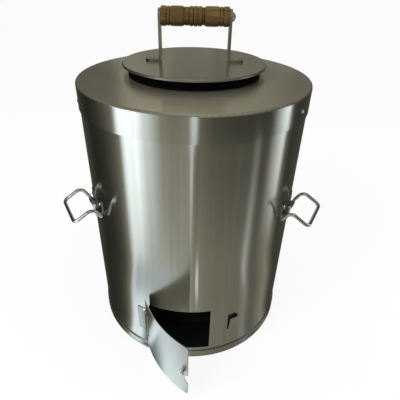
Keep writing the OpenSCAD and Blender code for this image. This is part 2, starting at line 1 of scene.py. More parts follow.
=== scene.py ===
"""Charcoal tandoor: finishes for the steel drum, the clay fire pot and the fittings, and a plain studio."""

import math

import bmesh
import bpy
from bpy.props import FloatProperty, FloatVectorProperty, IntProperty, PointerProperty
from mathutils import Matrix, Vector


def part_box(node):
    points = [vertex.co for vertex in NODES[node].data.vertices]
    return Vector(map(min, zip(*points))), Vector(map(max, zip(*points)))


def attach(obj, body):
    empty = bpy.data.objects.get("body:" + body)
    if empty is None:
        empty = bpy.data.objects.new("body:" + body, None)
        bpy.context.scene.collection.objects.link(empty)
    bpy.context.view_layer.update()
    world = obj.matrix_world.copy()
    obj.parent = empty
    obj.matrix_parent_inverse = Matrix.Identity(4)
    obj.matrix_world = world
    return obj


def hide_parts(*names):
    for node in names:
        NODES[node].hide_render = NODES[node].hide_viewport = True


bl_info = {
    "name": "Charcoal Tandoor",
    "version": (1, 0, 0),
    "blender": (4, 5, 0),
    "location": "View3D > Sidebar > Tandoor",
    "description": "Dresses a packed charcoal tandoor and sets up its studio",
    "category": "Object",
}

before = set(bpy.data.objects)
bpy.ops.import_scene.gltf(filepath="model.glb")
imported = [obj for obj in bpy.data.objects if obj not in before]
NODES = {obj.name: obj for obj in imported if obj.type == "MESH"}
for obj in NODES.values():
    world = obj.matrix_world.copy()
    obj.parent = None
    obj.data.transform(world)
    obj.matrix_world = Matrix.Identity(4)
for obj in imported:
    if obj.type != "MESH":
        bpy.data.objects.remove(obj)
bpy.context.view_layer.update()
GRIP_LOW, GRIP_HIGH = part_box("wooden_grip")
GRIP_MIDDLE = (GRIP_LOW + GRIP_HIGH) / 2
GRIP_R = (GRIP_HIGH.z - GRIP_LOW.z) / 2
DRUM_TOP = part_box("top_cover")[1].z
SHELL_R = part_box("drum_shell")[1].x
# Middle of the window that the lifted keeper tab leaves in the shell
KEEPER_WINDOW = (0.085, -0.184, 0.0915)
# Levelness at which a face starts to look as level ones do, and at which it quite does
LEVEL_FROM, LEVEL_TO = 0.3, 0.9
# Noise strays over about this share of its range
NOISE_SPREAD = 0.2
# Where along x a sheet that is askew swells: to its left edge, and by a share of that at its right
SWELL_LEFT = (-0.083, -SHELL_R)
SWELL_RIGHT = (-0.024, 0.079)
RIGHT_SHARE = 0.28
BLACK, WHITE = (0.0, 0.0, 0.0), (1.0, 1.0, 1.0)


def colour_setting(label, default):
    return FloatVectorProperty(
        name=label, description=f"{label}, before light and wear", subtype="COLOR", size=3, min=0.0, max=1.0,
        default=default,
    )


def length_setting(label, description, default, low, high):
    return FloatProperty(
        name=label, description=description, default=default, min=low, max=high, subtype="DISTANCE",
        unit="LENGTH",
    )


class TandoorSteel(bpy.types.PropertyGroup):
    """Finish of the sheet steel."""

    colour: colour_setting("Sheet colour", (0.53, 0.53, 0.5))
    rod_colour: colour_setting("Rod colour", (0.74, 0.75, 0.74))
    roughness: FloatProperty(
        name="Roughness", description="Gloss of the sheet's satin finish", default=0.125, min=0.05, max=0.8,
    )
    lines: FloatProperty(
        name="Brushing", description="Brushed lines to each metre", default=1500.0, min=100.0, max=5000.0,
    )
    waviness: length_setting("Waviness", "How far the rolled sheet wanders from true", 0.00022, 0.0, 0.002)


class TandoorGrip(bpy.types.PropertyGroup):
    """Shape and finish of the turned grip."""

    groove_depth: length_setting("Groove depth", "Depth of the grooves between beads", 0.0024, 0.0005, 0.005)
    bore_radius: length_setting("Bore radius", "Radius of the hole for the bolt", 0.00306, 0.002, 0.006)
    steps: IntProperty(name="Steps", description="Faces round the grip", default=64, min=16, max=128)
    colour: colour_setting("Wood colour", (0.087, 0.052, 0.0125))
    # Colour of the painted shade in the grooves
    groove_shade_colour: colour_setting("Groove colour", (0.026, 0.015, 0.005))


class TandoorClay(bpy.types.PropertyGroup):
    """Finish of the fired clay."""

    colour: colour_setting("Clay colour", (0.4, 0.2, 0.115))
    soot: length_setting("Soot height", "Height up to which fire has blackened the pot", 0.24, 0.0, 0.5)


class TandoorStudio(bpy.types.PropertyGroup):
    """Camera and light."""

    lens: FloatProperty(
        name="Lens", description="Focal length on a 36 mm sensor", default=32.8, min=15.0, max=120.0,
        unit="CAMERA",
    )
    camera_back: length_setting(
        "Camera distance", "Distance of the camera in front of the drum's axis", 0.666, 0.3, 5.0,
    )
    camera_over: length_setting(
        "Camera height", "Height of the camera above the drum's top", 0.1623, 0.0, 2.0,
    )
    pitch: FloatProperty(
        name="Pitch", description="How far the camera looks down", default=math.radians(32.99), min=0.0,
        max=1.5, subtype="ANGLE",
    )
    light: FloatProperty(
        name="Light", description="Strength of the sky's plain light", default=0.72, min=0.0, max=3.0,
    )
    tent_radius: length_setting(
        "Tent radius", "Radius of the light tent that the metal mirrors", 0.43, 0.35, 2.0,
    )


class TandoorSettings(bpy.types.PropertyGroup):
    """All settings of the tandoor."""

    steel: PointerProperty(type=TandoorSteel)
    grip: PointerProperty(type=TandoorGrip)
    clay: PointerProperty(type=TandoorClay)
    studio: PointerProperty(type=TandoorStudio)


class Finish:
    """A material with one principled shader, and short ways to add the nodes that feed it."""

    def __init__(self, name, colour, roughness, metallic=0.0, **sockets):
        self.material = bpy.data.materials.new(name)
        self.material.use_nodes = True
        self.tree = self.material.node_tree
        self.tree.nodes.clear()
        self.shader = self.add("ShaderNodeBsdfPrincipled")
        self.output = self.add("ShaderNodeOutputMaterial")
        self.show(self.shader)
        self.set(**{"Base Color": colour, "Roughness": roughness, "Metallic": metallic})
        self.set(**{key.replace("_", " "): value for key, value in sockets.items()})

    def add(self, kind, inputs=(), **settings):
        node = self.tree.nodes.new(kind)
        for key, value in settings.items():
            setattr(node, key, value)
        for key, value in dict(inputs).items():
            self.feed(node.inputs[key], value)
        return node

    def feed(self, socket, value):
        if isinstance(value, bpy.types.NodeSocket):
            self.tree.links.new(value, socket)
        elif hasattr(value, "__len__") and len(value) == 3 and socket.type == "RGBA":
            socket.default_value = (*value, 1.0)
        else:
            socket.default_value = value

    def set(self, **sockets):
        for key, value in sockets.items():
            self.feed(self.shader.inputs[key], value)

    def show(self, shader):
        """Makes a shader the one that the surface shows."""
        self.tree.links.new(shader.outputs[0], self.output.inputs["Surface"])

    def place(self):
        return self.add("ShaderNodeTexCoord").outputs["Object"]

    def parts(self):
        """The place's x, y and z."""
        return tuple(self.add("ShaderNodeSeparateXYZ", {0: self.place()}).outputs)

    def levelness(self):
        """1 on a face that lies level and 0 on one that stands upright."""
        normal = self.add("ShaderNodeNewGeometry").outputs["Normal"]
        upward = self.add("ShaderNodeSeparateXYZ", {0: normal}).outputs[2]
        return self.math("ABSOLUTE", upward)

    def stretched(self, scale, turn=(0.0, 0.0, 0.0), shift=(0.0, 0.0, 0.0)):
        inputs = {"Vector": self.place(), "Location": shift, "Rotation": turn, "Scale": scale}
        return self.add("ShaderNodeMapping", inputs).outputs[0]

    def noise(self, where, detail=3.0, rough=0.55, distortion=0.0):
        inputs = {
            "Vector": where, "Scale": 1.0, "Detail": detail, "Roughness": rough, "Distortion": distortion,
        }
        return self.add("ShaderNodeTexNoise", inputs).outputs["Fac"]

    def math(self, operation, first, second=0.0, third=0.0, clamp=False):
        inputs = {0: first, 1: second, 2: third}
        return self.add("ShaderNodeMath", inputs, operation=operation, use_clamp=clamp).outputs[0]

    def plus(self, first, second):
        return self.math("ADD", first, second)

    def times(self, first, *others):
        for other in others:
            first = self.math("MULTIPLY", first, other)
        return first

    def away(self, value, place):
        """How far a value lies from a place, on either side."""
        return self.math("ABSOLUTE", self.math("SUBTRACT", value, place))

    def ranged(self, value, low, high, to_low=0.0, to_high=1.0, smooth=False):
        inputs = {0: value, 1: low, 2: high, 3: to_low, 4: to_high}
        kind = "SMOOTHSTEP" if smooth else "LINEAR"
        return self.add("ShaderNodeMapRange", inputs, interpolation_type=kind).outputs[0]

    def mix(self, amount, first, second):
        node = self.add("ShaderNodeMix", data_type="RGBA")
        for socket, value in ((0, amount), (6, first), (7, second)):
            self.feed(node.inputs[socket], value)
        return node.outputs[2]

    def ramp(self, value, stops):
        node = self.add("ShaderNodeValToRGB", {0: value})
        band = node.color_ramp
        while len(band.elements) < len(stops):
            band.elements.new(1.0)
        for element, (at, colour) in zip(band.elements, stops):
            element.position = at
            element.color = (*colour, 1.0)
        return node.outputs[0]

    def bump(self, height, strength, distance, over=None):
        inputs = {"Height": height, "Strength": strength, "Distance": distance}
        if over is not None:
            inputs["Normal"] = over
        return self.add("ShaderNodeBump", inputs).outputs[0]

    def distance(self, first, second):
        """How far a place lies from another."""
        return self.add("ShaderNodeVectorMath", {0: first, 1: second}, operation="DISTANCE").outputs["Value"]


def tinted(colour, by):
    return tuple(min(1.0, channel * by) for channel in colour)


def swollen(finish, lying, depth, over):
    """Relief of a sheet that stands askew: its upright faces swell to the left, and less to the right."""
    x = finish.parts()[0]
    swell = finish.plus(finish.ranged(x, *SWELL_LEFT), finish.ranged(x, *SWELL_RIGHT, 0.0, RIGHT_SHARE))
    standing = finish.ranged(lying, LEVEL_FROM, LEVEL_TO, 1.0, 0.0)
    return finish.bump(finish.times(swell, standing), 1.0, depth, over)


def brushed_sheet(name, steel, grain, waves=1.0, tone=1.0, upright=None, level=None, smear=0.96, stains=0.5,
                  dull=0.0, askew=0.0):
    """Satin sheet steel. The grain is how quickly the brushed lines change along each axis, as a share.

    Upright faces and level faces each have their own roughness, and smear is how far the finish is drawn
    out up an upright face or from front to back on a level one. A level face is dull by a share, as its
    scratches scatter light. A sheet that is askew swells by that depth."""
    colour = tinted(steel.colour, tone)
    stain = [channel * share for channel, share in zip(colour, (0.86, 0.85, 0.8))]
    # Colour of the painted warm light on level faces
    warm_lit_level = tinted((0.54, 0.515, 0.425), tone)
    soft_share, scratch_depth = 0.16, 0.00003
    upright = steel.roughness if upright is None else upright
    level = upright if level is None else level
    finish = Finish(name, colour, upright, 1.0, Anisotropic=smear)
    lines = finish.noise(finish.stretched([steel.lines * share for share in grain]), detail=2.0, rough=0.7)
    soft_lines = finish.noise(
        finish.stretched([steel.lines * share * soft_share for share in grain]), detail=2.0,
    )
    clouds = finish.noise(finish.stretched((5.0, 5.0, 4.0)), detail=4.0, rough=0.6, distortion=0.6)
    prints = finish.noise(
        finish.stretched((19.0, 19.0, 15.0), shift=(0.3, 0.1, 0.7)), detail=5.0, rough=0.65,
    )
    worn = finish.times(finish.ranged(clouds, 0.45, 0.72), stains)
    marks = finish.times(finish.ranged(prints, 0.56, 0.74), stains * 0.8)
    look = finish.mix(finish.ranged(lines, 0.3, 0.7), tinted(colour, 0.96), tinted(colour, 1.03))
    look = finish.mix(finish.times(finish.ranged(soft_lines, 0.38, 0.62), 0.2), look, tinted(colour, 1.04))
    look = finish.mix(finish.times(worn, 0.3), look, stain)
    lying = finish.levelness()
    if dull:
        # Level faces turn warmer: painted warm light on the top
        look = finish.mix(finish.ranged(lying, LEVEL_FROM, LEVEL_TO), look, warm_lit_level)
        finish.set(Metallic=finish.ranged(lying, LEVEL_FROM, LEVEL_TO, 1.0, 1.0 - dull))
    base = finish.ranged(lying, LEVEL_FROM, LEVEL_TO, upright, level)
    gloss = finish.plus(base, finish.ranged(lines, 0.25, 0.75, -0.02, 0.03))
    gloss = finish.plus(gloss, finish.times(finish.plus(worn, marks), 0.045))
    rolled = finish.noise(finish.stretched((3.2, 3.2, 1.5), shift=(0.2, 0.5, 0.1)), detail=2.0, rough=0.4)
    relief = finish.bump(rolled, 1.0, steel.waviness / NOISE_SPREAD * waves)
    if askew:
        relief = swollen(finish, lying, askew, relief)
    relief = finish.bump(lines, 0.05, scratch_depth, relief)
    across = finish.add("ShaderNodeCombineXYZ", {"Y": lying, "Z": finish.math("SUBTRACT", 1.0, lying)})
    finish.set(**{"Base Color": look, "Roughness": gloss, "Normal": relief, "Tangent": across.outputs[0]})
    return finish


def bright_metal(name, steel, roughness, scratches=900.0):
    """Polished steel of rods, rivets and bolts, with drawn lines and dulled patches."""
    scratch_depth = 0.00005
    finish = Finish(name, steel.rod_colour, roughness, 1.0)
    drawn = finish.noise(finish.stretched((scratches, scratches, scratches * 0.3)))
    patches = finish.noise(finish.stretched((60.0, 60.0, 60.0)), detail=4.0)
    look = finish.mix(finish.ranged(patches, 0.4, 0.7), steel.rod_colour, tinted(steel.rod_colour, 0.84))
    gloss = finish.plus(finish.ranged(drawn, 0.3, 0.7, roughness - 0.03, roughness + 0.05),
                        finish.ranged(patches, 0.5, 0.75, 0.0, 0.1))
    finish.set(**{
        "Base Color": look, "Roughness": gloss, "Normal": finish.bump(drawn, 0.12, scratch_depth),
    })
    return finish


def paint_nodes(finish, *names):
    """Gives the named pieces of the frame a finish."""
    for name in names:
        if name not in NODES:
            raise RuntimeError(f"The frame holds no node named {name}")
        node = NODES[name]
        if not node.material_slots:
            node.data.materials.append(finish.material)
        for slot in node.material_slots:
            slot.material = finish.material


def spun(points, steps, axis, centre, closed=True):
    """An outline of points turned once round an axis."""
    shape = bmesh.new()
    corners = [shape.verts.new(point) for point in points]
    following = corners[1:] + corners[:1] if closed else corners[1:]
    edges = [shape.edges.new(pair) for pair in zip(corners, following)]
    bmesh.ops.spin(
        shape, geom=corners + edges, cent=centre, axis=axis, angle=math.tau, steps=steps, use_merge=True,
    )
    return shape


def thing_from(name, shape, finish):
    """An object in the scene with a shape and a finish."""
    mesh = bpy.data.meshes.new(name)
    shape.to_mesh(mesh)
    shape.free()
    mesh.materials.append(finish.material)
    thing = bpy.data.objects.new(name, mesh)
    bpy.context.scene.collection.objects.link(thing)
    return thing


def finished_piece(name, shape, finish, body, replaces):
    """A piece of the object that rides on a body and stands for nodes of the frame."""
    weld, crease = 1e-7, math.radians(38)
    bmesh.ops.remove_doubles(shape, verts=shape.verts, dist=weld)
    bmesh.ops.recalc_face_normals(shape, faces=shape.faces)
    piece = thing_from(name, shape, finish)
    piece.data.polygons.foreach_set("use_smooth", [True] * len(piece.data.polygons))
    piece.data.set_sharp_from_angle(angle=crease)
    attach(piece, body)
    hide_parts(*replaces)


class TANDOOR_OT_drum(bpy.types.Operator):
    """Finish the drum's rolled shell, base pan and top cover in satin steel"""

    bl_idname = "tandoor.drum"
    bl_label = "Drum"

    def execute(self, context):
        steel = context.scene.tandoor.steel
        paint_nodes(brushed_sheet("shell_satin", steel, (0.003, 0.003, 1.0)), "drum_shell")
        cover = brushed_sheet(
            "cover_satin", steel, (0.01, 1.0, 1.0), waves=0.4, tone=0.97, upright=0.17, level=0.21, dull=0.12,
            askew=0.0071,
        )
        paint_nodes(cover, "top_cover")
        pan = brushed_sheet("pan_satin", steel, (0.004, 0.004, 1.0), waves=0.4, tone=0.92, upright=0.27)
        paint_nodes(pan, "base_pan")
        return {"FINISHED"}


class TANDOOR_OT_door(bpy.types.Operator):
    """Finish the ash door, its hinge and its knob"""

    bl_idname = "tandoor.door"
    bl_label = "Ash door"

    def execute(self, context):
        steel = context.scene.tandoor.steel
        door = brushed_sheet("door_satin", steel, (0.004, 0.004, 1.0), waves=0.5, tone=1.02, upright=0.24)
        paint_nodes(door, "door_panel")
        hinge = brushed_sheet(
            "hinge_satin", steel, (0.02, 0.02, 1.0), waves=0.2, tone=0.78, upright=0.3, stains=1.0,
        )
        paint_nodes(hinge, "door_hinge_leaf", "drum_hinge_leaf")
        paint_nodes(bright_metal("knob_polish", steel, 0.16), "door_knob", "knob_rivet", "hinge_pin")
        return {"FINISHED"}


class TANDOOR_OT_lid(bpy.types.Operator):
    """Finish the lid and its straps, the side handles' straps, and the rivets and bolt"""

    bl_idname = "tandoor.lid"
    bl_label = "Lid, straps and rivets"

    def execute(self, context):
        steel = context.scene.tandoor.steel
        lid = brushed_sheet(
            "lid_satin", steel, (0.01, 1.0, 1.0), waves=0.1, upright=0.45, level=0.17, smear=0.8,
        )
        paint_nodes(lid, "lid_disc", "lid_locating_ring")
        strap = brushed_sheet(
            "strap_satin", steel, (1.0, 1.0, 0.01), waves=0.2, tone=0.84, upright=0.22, smear=0.3,
        )
        paint_nodes(strap, "left_grip_strap", "right_grip_strap", "left_handle_straps", "right_handle_straps")
        fixings = bright_metal("fixing_polish", steel, 0.15)
        paint_nodes(fixings, "strap_rivets", "grip_bolt", "cover_rivets", "handle_rivets")
        return {"FINISHED"}


class TANDOOR_OT_bails(bpy.types.Operator):
    """Finish the bent-rod bails"""

    bl_idname = "tandoor.bails"
    bl_label = "Side bails"

    def execute(self, context):
        rod = bright_metal("rod_polish", context.scene.tandoor.steel, 0.14, scratches=1400.0)
        paint_nodes(rod, "left_bail", "right_bail")
        return {"FINISHED"}


class TANDOOR_OT_mouth(bpy.types.Operator):
    """Finish the mouth ring under the lid in black paint, made darker than paint as painted shade from the
    lid
    """

    bl_idname = "tandoor.mouth"
    bl_label = "Mouth ring"

    # The ring's black is darker than any paint and carries painted shade under the lid; dust lies on it
    black, dusty = (0.002, 0.002, 0.002), (0.006, 0.0055, 0.005)
    pit_depth = 0.0001

    def execute(self, context):
        ring = Finish("mouth_black", self.black, 0.7, 0.0, Specular_IOR_Level=0.03)
        pits = ring.noise(ring.stretched((700.0, 700.0, 700.0)), detail=4.0)
        dust = ring.noise(ring.stretched((28.0, 28.0, 40.0)), detail=5.0, rough=0.65)
        ring.set(**{
            "Base Color": ring.mix(ring.ranged(dust, 0.5, 0.75, 0.0, 0.6), self.black, self.dusty),
            "Roughness": ring.ranged(dust, 0.3, 0.7, 0.6, 0.8),
            "Normal": ring.bump(pits, 0.25, self.pit_depth),
        })
        paint_nodes(ring, "mouth_ring")
        return {"FINISHED"}


class TANDOOR_OT_inside(bpy.types.Operator):
    """Finish the clay pot, hearth, insulation, air duct and coal grate"""

    bl_idname = "tandoor.inside"
    bl_label = "Inside"

    soot, pale_grit = (0.008, 0.007, 0.006), (0.52, 0.36, 0.24)
    # Colours of the hearth's ash, made darker still as painted shade deep in the ash pit
    hearth_ash_and_shade = ((0.35, (0.01, 0.009, 0.008)), (0.6, (0.025, 0.023, 0.02)), (0.8, (0.07, 0.066, 0.06)))
    # Grain colours of the fill, and the painted shade that darkens it round the keeper's window
    dark_fill, pale_fill, sooted_fill = (0.45, 0.42, 0.34), (0.76, 0.73, 0.63), (0.012, 0.011, 0.01)
    # Distances from the keeper's window between which the painted shade on the fill ends
    window_shade_reach = (0.045, 0.075)
    # Each iron piece's node, its finish and its colour
    irons = (
        ("air_duct", "sooty_duct", (0.008, 0.009, 0.01)),
        ("coal_grate", "scaled_iron", (0.03, 0.028, 0.026)),
    )
    rust_tint = (2.2, 1.0, 0.5)

    def fired_clay(self, clay):
        """Coarse clay, blackened from the foot up, with smears on its wall."""
        pot = Finish("fired_clay", clay.colour, 0.85)
        grit = pot.noise(pot.stretched((420.0, 420.0, 420.0)), detail=5.0, rough=0.7)
        smears = pot.noise(pot.stretched((9.0, 9.0, 26.0)), detail=4.0, distortion=1.2)
        by_height = pot.ranged(pot.parts()[2], clay.soot, clay.soot * 0.35)
        sooted = pot.math("ADD", by_height, pot.ranged(smears, 0.35, 0.75, -0.3, 0.35), clamp=True)
        look = pot.mix(pot.ranged(smears, 0.3, 0.7), tinted(clay.colour, 0.82), tinted(clay.colour, 1.2))
        look = pot.mix(pot.ranged(grit, 0.55, 0.75, 0.0, 0.5), look, self.pale_grit)
        pot.set(**{
            "Base Color": pot.mix(sooted, look, self.soot),
            "Roughness": pot.ranged(grit, 0.3, 0.7, 0.78, 0.94),
            "Normal": pot.bump(grit, 0.5, 0.0004, pot.bump(smears, 0.6, 0.0015)),
        })
        return pot

    # Dark ash on the hearth, with painted shade darkening it further
    def ash_and_shade_hearth(self):
        hearth = Finish("ash_and_shade_hearth", self.hearth_ash_and_shade[-1][1], 0.95)
        ash = hearth.noise(hearth.stretched((14.0, 14.0, 14.0)), detail=6.0, rough=0.65)
        hearth.set(**{
            "Base Color": hearth.ramp(ash, self.hearth_ash_and_shade), "Normal": hearth.bump(ash, 0.6, 0.001),
        })
        return hearth

    def mineral_fill(self):
        """Pale loose grains, darkened by painted shade where the keeper's window bares them."""
        fill = Finish("mineral_fill", self.pale_fill, 1.0)
        grains = fill.noise(fill.stretched((260.0, 260.0, 260.0)), detail=4.0)
        packed = fill.mix(grains, self.dark_fill, self.pale_fill)
        from_window = fill.distance(fill.place(), KEEPER_WINDOW)
        # Painted shade: the fill turns near black close to the keeper's window
        unshaded = fill.ranged(from_window, *self.window_shade_reach)
        fill.set(**{
            "Base Color": fill.mix(unshaded, self.sooted_fill, packed), "Normal": fill.bump(grains, 0.8, 0.001),
        })
        return fill

    def scaled_iron(self, name, colour):
        """Dark iron with fire scale and patches of rust."""
        iron = Finish(name, colour, 0.7, 0.1, Specular_IOR_Level=0.2)
        scale = iron.noise(iron.stretched((90.0, 90.0, 90.0)), detail=6.0, rough=0.7)
        patches = iron.noise(iron.stretched((40.0, 40.0, 40.0)), detail=4.0)
        look = iron.mix(scale, tinted(colour, 0.6), tinted(colour, 1.5))
        rusted = iron.ranged(patches, 0.55, 0.75, 0.0, 0.4)
        iron.set(**{
            "Base Color": iron.mix(rusted, look, tinted(self.rust_tint, colour[0])),
            "Roughness": iron.ranged(scale, 0.3, 0.7, 0.55, 0.85),
            "Normal": iron.bump(scale, 0.4, 0.0003),
        })
        return iron

    def execute(self, context):
        paint_nodes(self.fired_clay(context.scene.tandoor.clay), "clay_pot")
        paint_nodes(self.ash_and_shade_hearth(), "hearth_slab")
        paint_nodes(self.mineral_fill(), "insulation_fill")
        for node, name, colour in self.irons:
            paint_nodes(self.scaled_iron(name, colour), node)
        return {"FINISHED"}


class TANDOOR_OT_wooden_grip(bpy.types.Operator):
    """Turn the varnished wooden grip with its beads and grooves"""

    bl_idname = "tandoor.wooden_grip"
    bl_label = "Wooden grip"

    # Each bead's share of the length, and its height as a share of the groove's depth
    beads = (
        (9, 1), (5, 0.8), (22, 1), (8, 0.45), (6.5, 0.9), (6.5, 1),
        (6.5, 0.9), (4, 0.2), (23, 1), (5, 0.8), (10, 1),
    )
    bead_steps = 16
    # Stops of the wood's figure, and how light the wood is at each
    figure_tones = ((0.3, 0.5), (0.45, 0.85), (0.56, 1.1), (0.7, 1.7))
    groove_shade = 0.65

    def outline(self, grip):
        """Points from the bore at the left end, over the beads, to the bore at the right end."""
        length = GRIP_HIGH.x - GRIP_LOW.x
        groove_r = GRIP_R - grip.groove_depth
        whole = sum(share for share, _ in self.beads)
        points, start = [(GRIP_LOW.x, grip.bore_radius)], GRIP_LOW.x
        for share, crown in self.beads:
            bead = share / whole * length
            # A short bead is round, and the longer one is, the flatter its top
            flatness = 2.0 + share / 5.0
            for step in range(self.bead_steps):
                along = 0.5 - 0.5 * math.cos(math.pi * step / self.bead_steps)
                rise = crown * grip.groove_depth * math.sqrt(1.0 - abs(2.0 * along - 1.0) ** flatness)
                points.append((start + bead * along, groove_r + rise))
            start += bead
        return points + [(GRIP_HIGH.x, groove_r), (GRIP_HIGH.x, grip.bore_radius)]

    def varnished_wood(self, grip):
        """Dark figured wood with open pores under a thin coat, with painted shade darkening its grooves."""
        wood = Finish("varnished_wood", grip.colour, 0.36, 0.0, Coat_Weight=0.3, Coat_Roughness=0.2,
                      Specular_IOR_Level=0.35)
        figure = wood.noise(
            wood.stretched((16.0, 150.0, 95.0), turn=(0.4, 0.03, 0.05)), detail=4.0, distortion=0.8,
        )
        pores = wood.noise(wood.stretched((60.0, 1300.0, 1300.0)), detail=2.0)
        across = wood.add("ShaderNodeVectorMath", {0: wood.place(), 1: (0.0, 1.0, 1.0)}, operation="MULTIPLY")
        from_axis = wood.distance(across.outputs[0], (0.0, GRIP_MIDDLE.y, GRIP_MIDDLE.z))
        # How deep in a groove a place lies, for the painted shade there
        groove_shade_mask = wood.ranged(from_axis, GRIP_R - grip.groove_depth * 0.55, GRIP_R - grip.groove_depth,
                                smooth=True)
        look = wood.ramp(figure, [(at, tinted(grip.colour, tone)) for at, tone in self.figure_tones])
        look = wood.mix(wood.ranged(pores, 0.56, 0.68, 0.0, 0.6), look, tinted(grip.colour, 0.4))
        look = wood.mix(wood.times(groove_shade_mask, self.groove_shade), look, grip.groove_shade_colour)
        wood.set(**{
            "Base Color": look, "Roughness": wood.ranged(figure, 0.3, 0.7, 0.26, 0.42),
            "Normal": wood.bump(pores, 0.15, 0.0001),
        })
        return wood

    def execute(self, context):
        grip = context.scene.tandoor.grip
        points = [(x, GRIP_MIDDLE.y, GRIP_MIDDLE.z + radius) for x, radius in self.outline(grip)]
        shape = spun(points, grip.steps, (1.0, 0.0, 0.0), GRIP_MIDDLE)
        wood = self.varnished_wood(grip)
        finished_piece("turned_grip", shape, wood, "grip", ["wooden_grip"])
        paint_nodes(wood, "wooden_grip")
        return {"FINISHED"}


class TANDOOR_OT_studio(bpy.types.Operator):
    """Set up the camera, the pale floor, the soft light and the tent that the metal mirrors"""

    bl_idname = "tandoor.studio"
    bl_label = "Studio"

    # The camera's small turns in radians, and its lens shift as a share of the sensor's width
    sensor_width = 36.0
    yaw, roll = 0.0048, 0.02
    lens_shift = 0.0163
    # The floor's half side and height, and how white it is to what sees the background
    floor_half, floor_z = 40.0, -0.0003
    floor_white = 0.88
    # Each lamp's name, place, width and power, and where both aim
    lamps = (("key_lamp", (-1.5, -1.4, 2.2), 1.2, 42.0), ("fill_lamp", (1.9, -0.8, 1.5), 1.6, 16.0))
    lamp_aim = (0.0, 0.0, 0.3)

    # Light of the tent by azimuth from -Y towards +X: high up, and low down
    tent_bands = (
        (-180, 0.2, 0.2), (-158, 0.75, 0.5), (-138, 0.16, 0.14), (-116, 0.06, 0.06), (-96, 0.03, 0.03),
        (-80, 0.06, 0.045), (-68, 0.15, 0.09), (-60.5, 0.32, 0.3), (-57.5, 1.9, 1.0), (-54, 2.5, 1.45),
        (-43, 2.5, 1.0), (-37, 1.6, 0.8), (-27, 0.76, 0.66), (-21, 0.32, 0.57), (-12, 0.28, 0.5),
        (-4, 0.36, 0.44), (-2.2, 1.15, 0.44), (0.8, 1.15, 0.43), (2.6, 0.22, 0.4), (11, 0.1, 0.3),
        (30, 0.06, 0.25), (45, 0.05, 0.24), (50, 0.055, 0.75), (54, 0.055, 0.2), (60.5, 0.09, 0.16),
        (66, 0.7, 0.22), (77.5, 2.0, 0.34), (80.5, 0.12, 0.22), (90, 0.05, 0.06), (126, 0.08, 0.08),
        (146, 0.8, 0.55), (164, 0.2, 0.2),
    )
    # Light of the tent's crown by azimuth
    crown_bands = (
        (-180, 0.24), (-160, 0.27), (-154, 0.28), (-149, 0.07), (-110, 0.05), (0, 0.26), (110, 0.08),
        (138, 0.12), (146, 0.18), (160, 0.2), (180, 0.24),
    )
    # Bands up to the one level are warm, and from the other on cool
    warm, warm_up_to = (1.0, 0.965, 0.74), 0.34
    cool, cool_from = (0.9, 0.98, 1.0), 0.9
    # Strength of the light on the wall, and high in the crown
    wall_strength, crown_strength = 2.5, 4.2

    # Heights of the tent's floor, of a ring in its wall, of the wall's top and of the crown
    tent_floor, tent_ring, tent_top, crown_top = 0.0006, 0.6, 1.4, 1.6
    crown_hole = 0.01
    tent_steps = 96

    # Heights on the wall over which the mirrored skirt ends, and over which the crown's light begins
    skirt_edge = (0.375, 0.385)
    crown_edge = (0.5, 0.6)
    # Distance out from which bands lean towards the drum, and their lean at the shell
    lean_from, lean_most = 0.36, 0.4
    # Azimuths in radians of the middle strip, the line beside it and the narrow band on the right
    strip_at, line_at, right_band_at = -0.014, 0.092, 0.87
    line_colour = (0.46, 0.5, 0.5)
    # Colours of the card on the floor: in its middle, in the strip behind the door, and far out
    card_bright, card_shaded, card_far = (0.5, 0.57, 0.6), (0.07, 0.085, 0.095), (0.24, 0.27, 0.28)

    def camera(self, context, studio):
        data = bpy.data.cameras.new("camera")
        data.sensor_width = self.sensor_width
        data.lens = studio.lens
        data.shift_x = self.lens_shift
        level = math.cos(studio.pitch)
        ahead = Vector((math.sin(self.yaw) * level, math.cos(self.yaw) * level, -math.sin(studio.pitch)))
        right = Vector((math.cos(self.yaw), -math.sin(self.yaw), 0.0))
        up = right.cross(ahead)
        across = math.cos(self.roll) * right + math.sin(self.roll) * up
        upward = -math.sin(self.roll) * right + math.cos(self.roll) * up
        turned = Matrix((across, upward, -ahead)).transposed().to_4x4()
        place = (0.0, -studio.camera_back, DRUM_TOP + studio.camera_over)
        camera = bpy.data.objects.new("camera", data)
        context.scene.collection.objects.link(camera)
        camera.matrix_world = Matrix.Translation(place) @ turned
        context.scene.camera = camera

    def bands(self, finish, share, table, column):
        """Light of a table's bands, cool where bright and warm where dim."""
        stops = []
        for band in table:
            level = band[column]
            coolness = min(1.0, max(0.0, (level - self.warm_up_to) / (self.cool_from - self.warm_up_to)))
            tint = [low + (high - low) * coolness for low, high in zip(self.warm, self.cool)]
            stops.append((band[0] / 360 + 0.5, [level / self.wall_strength * channel for channel in tint]))
        return finish.ramp(share, stops)

    def share_round(self, finish, turn, leaned, z):
        """How far round the bands a place is, as a share that is a half straight in front."""
        share = finish.plus(finish.math("DIVIDE", leaned, math.tau), 0.5)
        # The bands at the left lie a little further to the right
        to_left, moved = finish.ranged(turn, -0.6, -0.95), -0.01
        share = finish.math("MULTIPLY_ADD", to_left, moved, share)
        # The narrow strip in the middle is less than half as wide below the skirt
        pinch = 1.3 / math.tau
        from_strip = finish.math("SUBTRACT", turn, self.strip_at)
        near_strip = finish.ranged(finish.math("ABSOLUTE", from_strip), 0.07, 0.12, pinch, 0.0)
        below_skirt = finish.ranged(z, *reversed(self.skirt_edge))
        return finish.plus(share, finish.times(from_strip, near_strip, below_skirt))

    def wall_and_crown(self, finish, share, z):
        """The bands low down, those high up on the wall and the crown's, one over the other."""
        high = self.bands(finish, share, self.tent_bands, 1)
        low = self.bands(finish, share, self.tent_bands, 2)
        crown = self.bands(finish, share, self.crown_bands, 1)
        rise = finish.math("MAXIMUM", finish.ranged(z, 0.05, 0.3, 0.0, 0.6),
                           finish.ranged(z, *self.skirt_edge))
        wall = finish.mix(rise, low, high)
        return finish.mix(finish.ranged(z, *self.crown_edge, smooth=True), wall, crown)

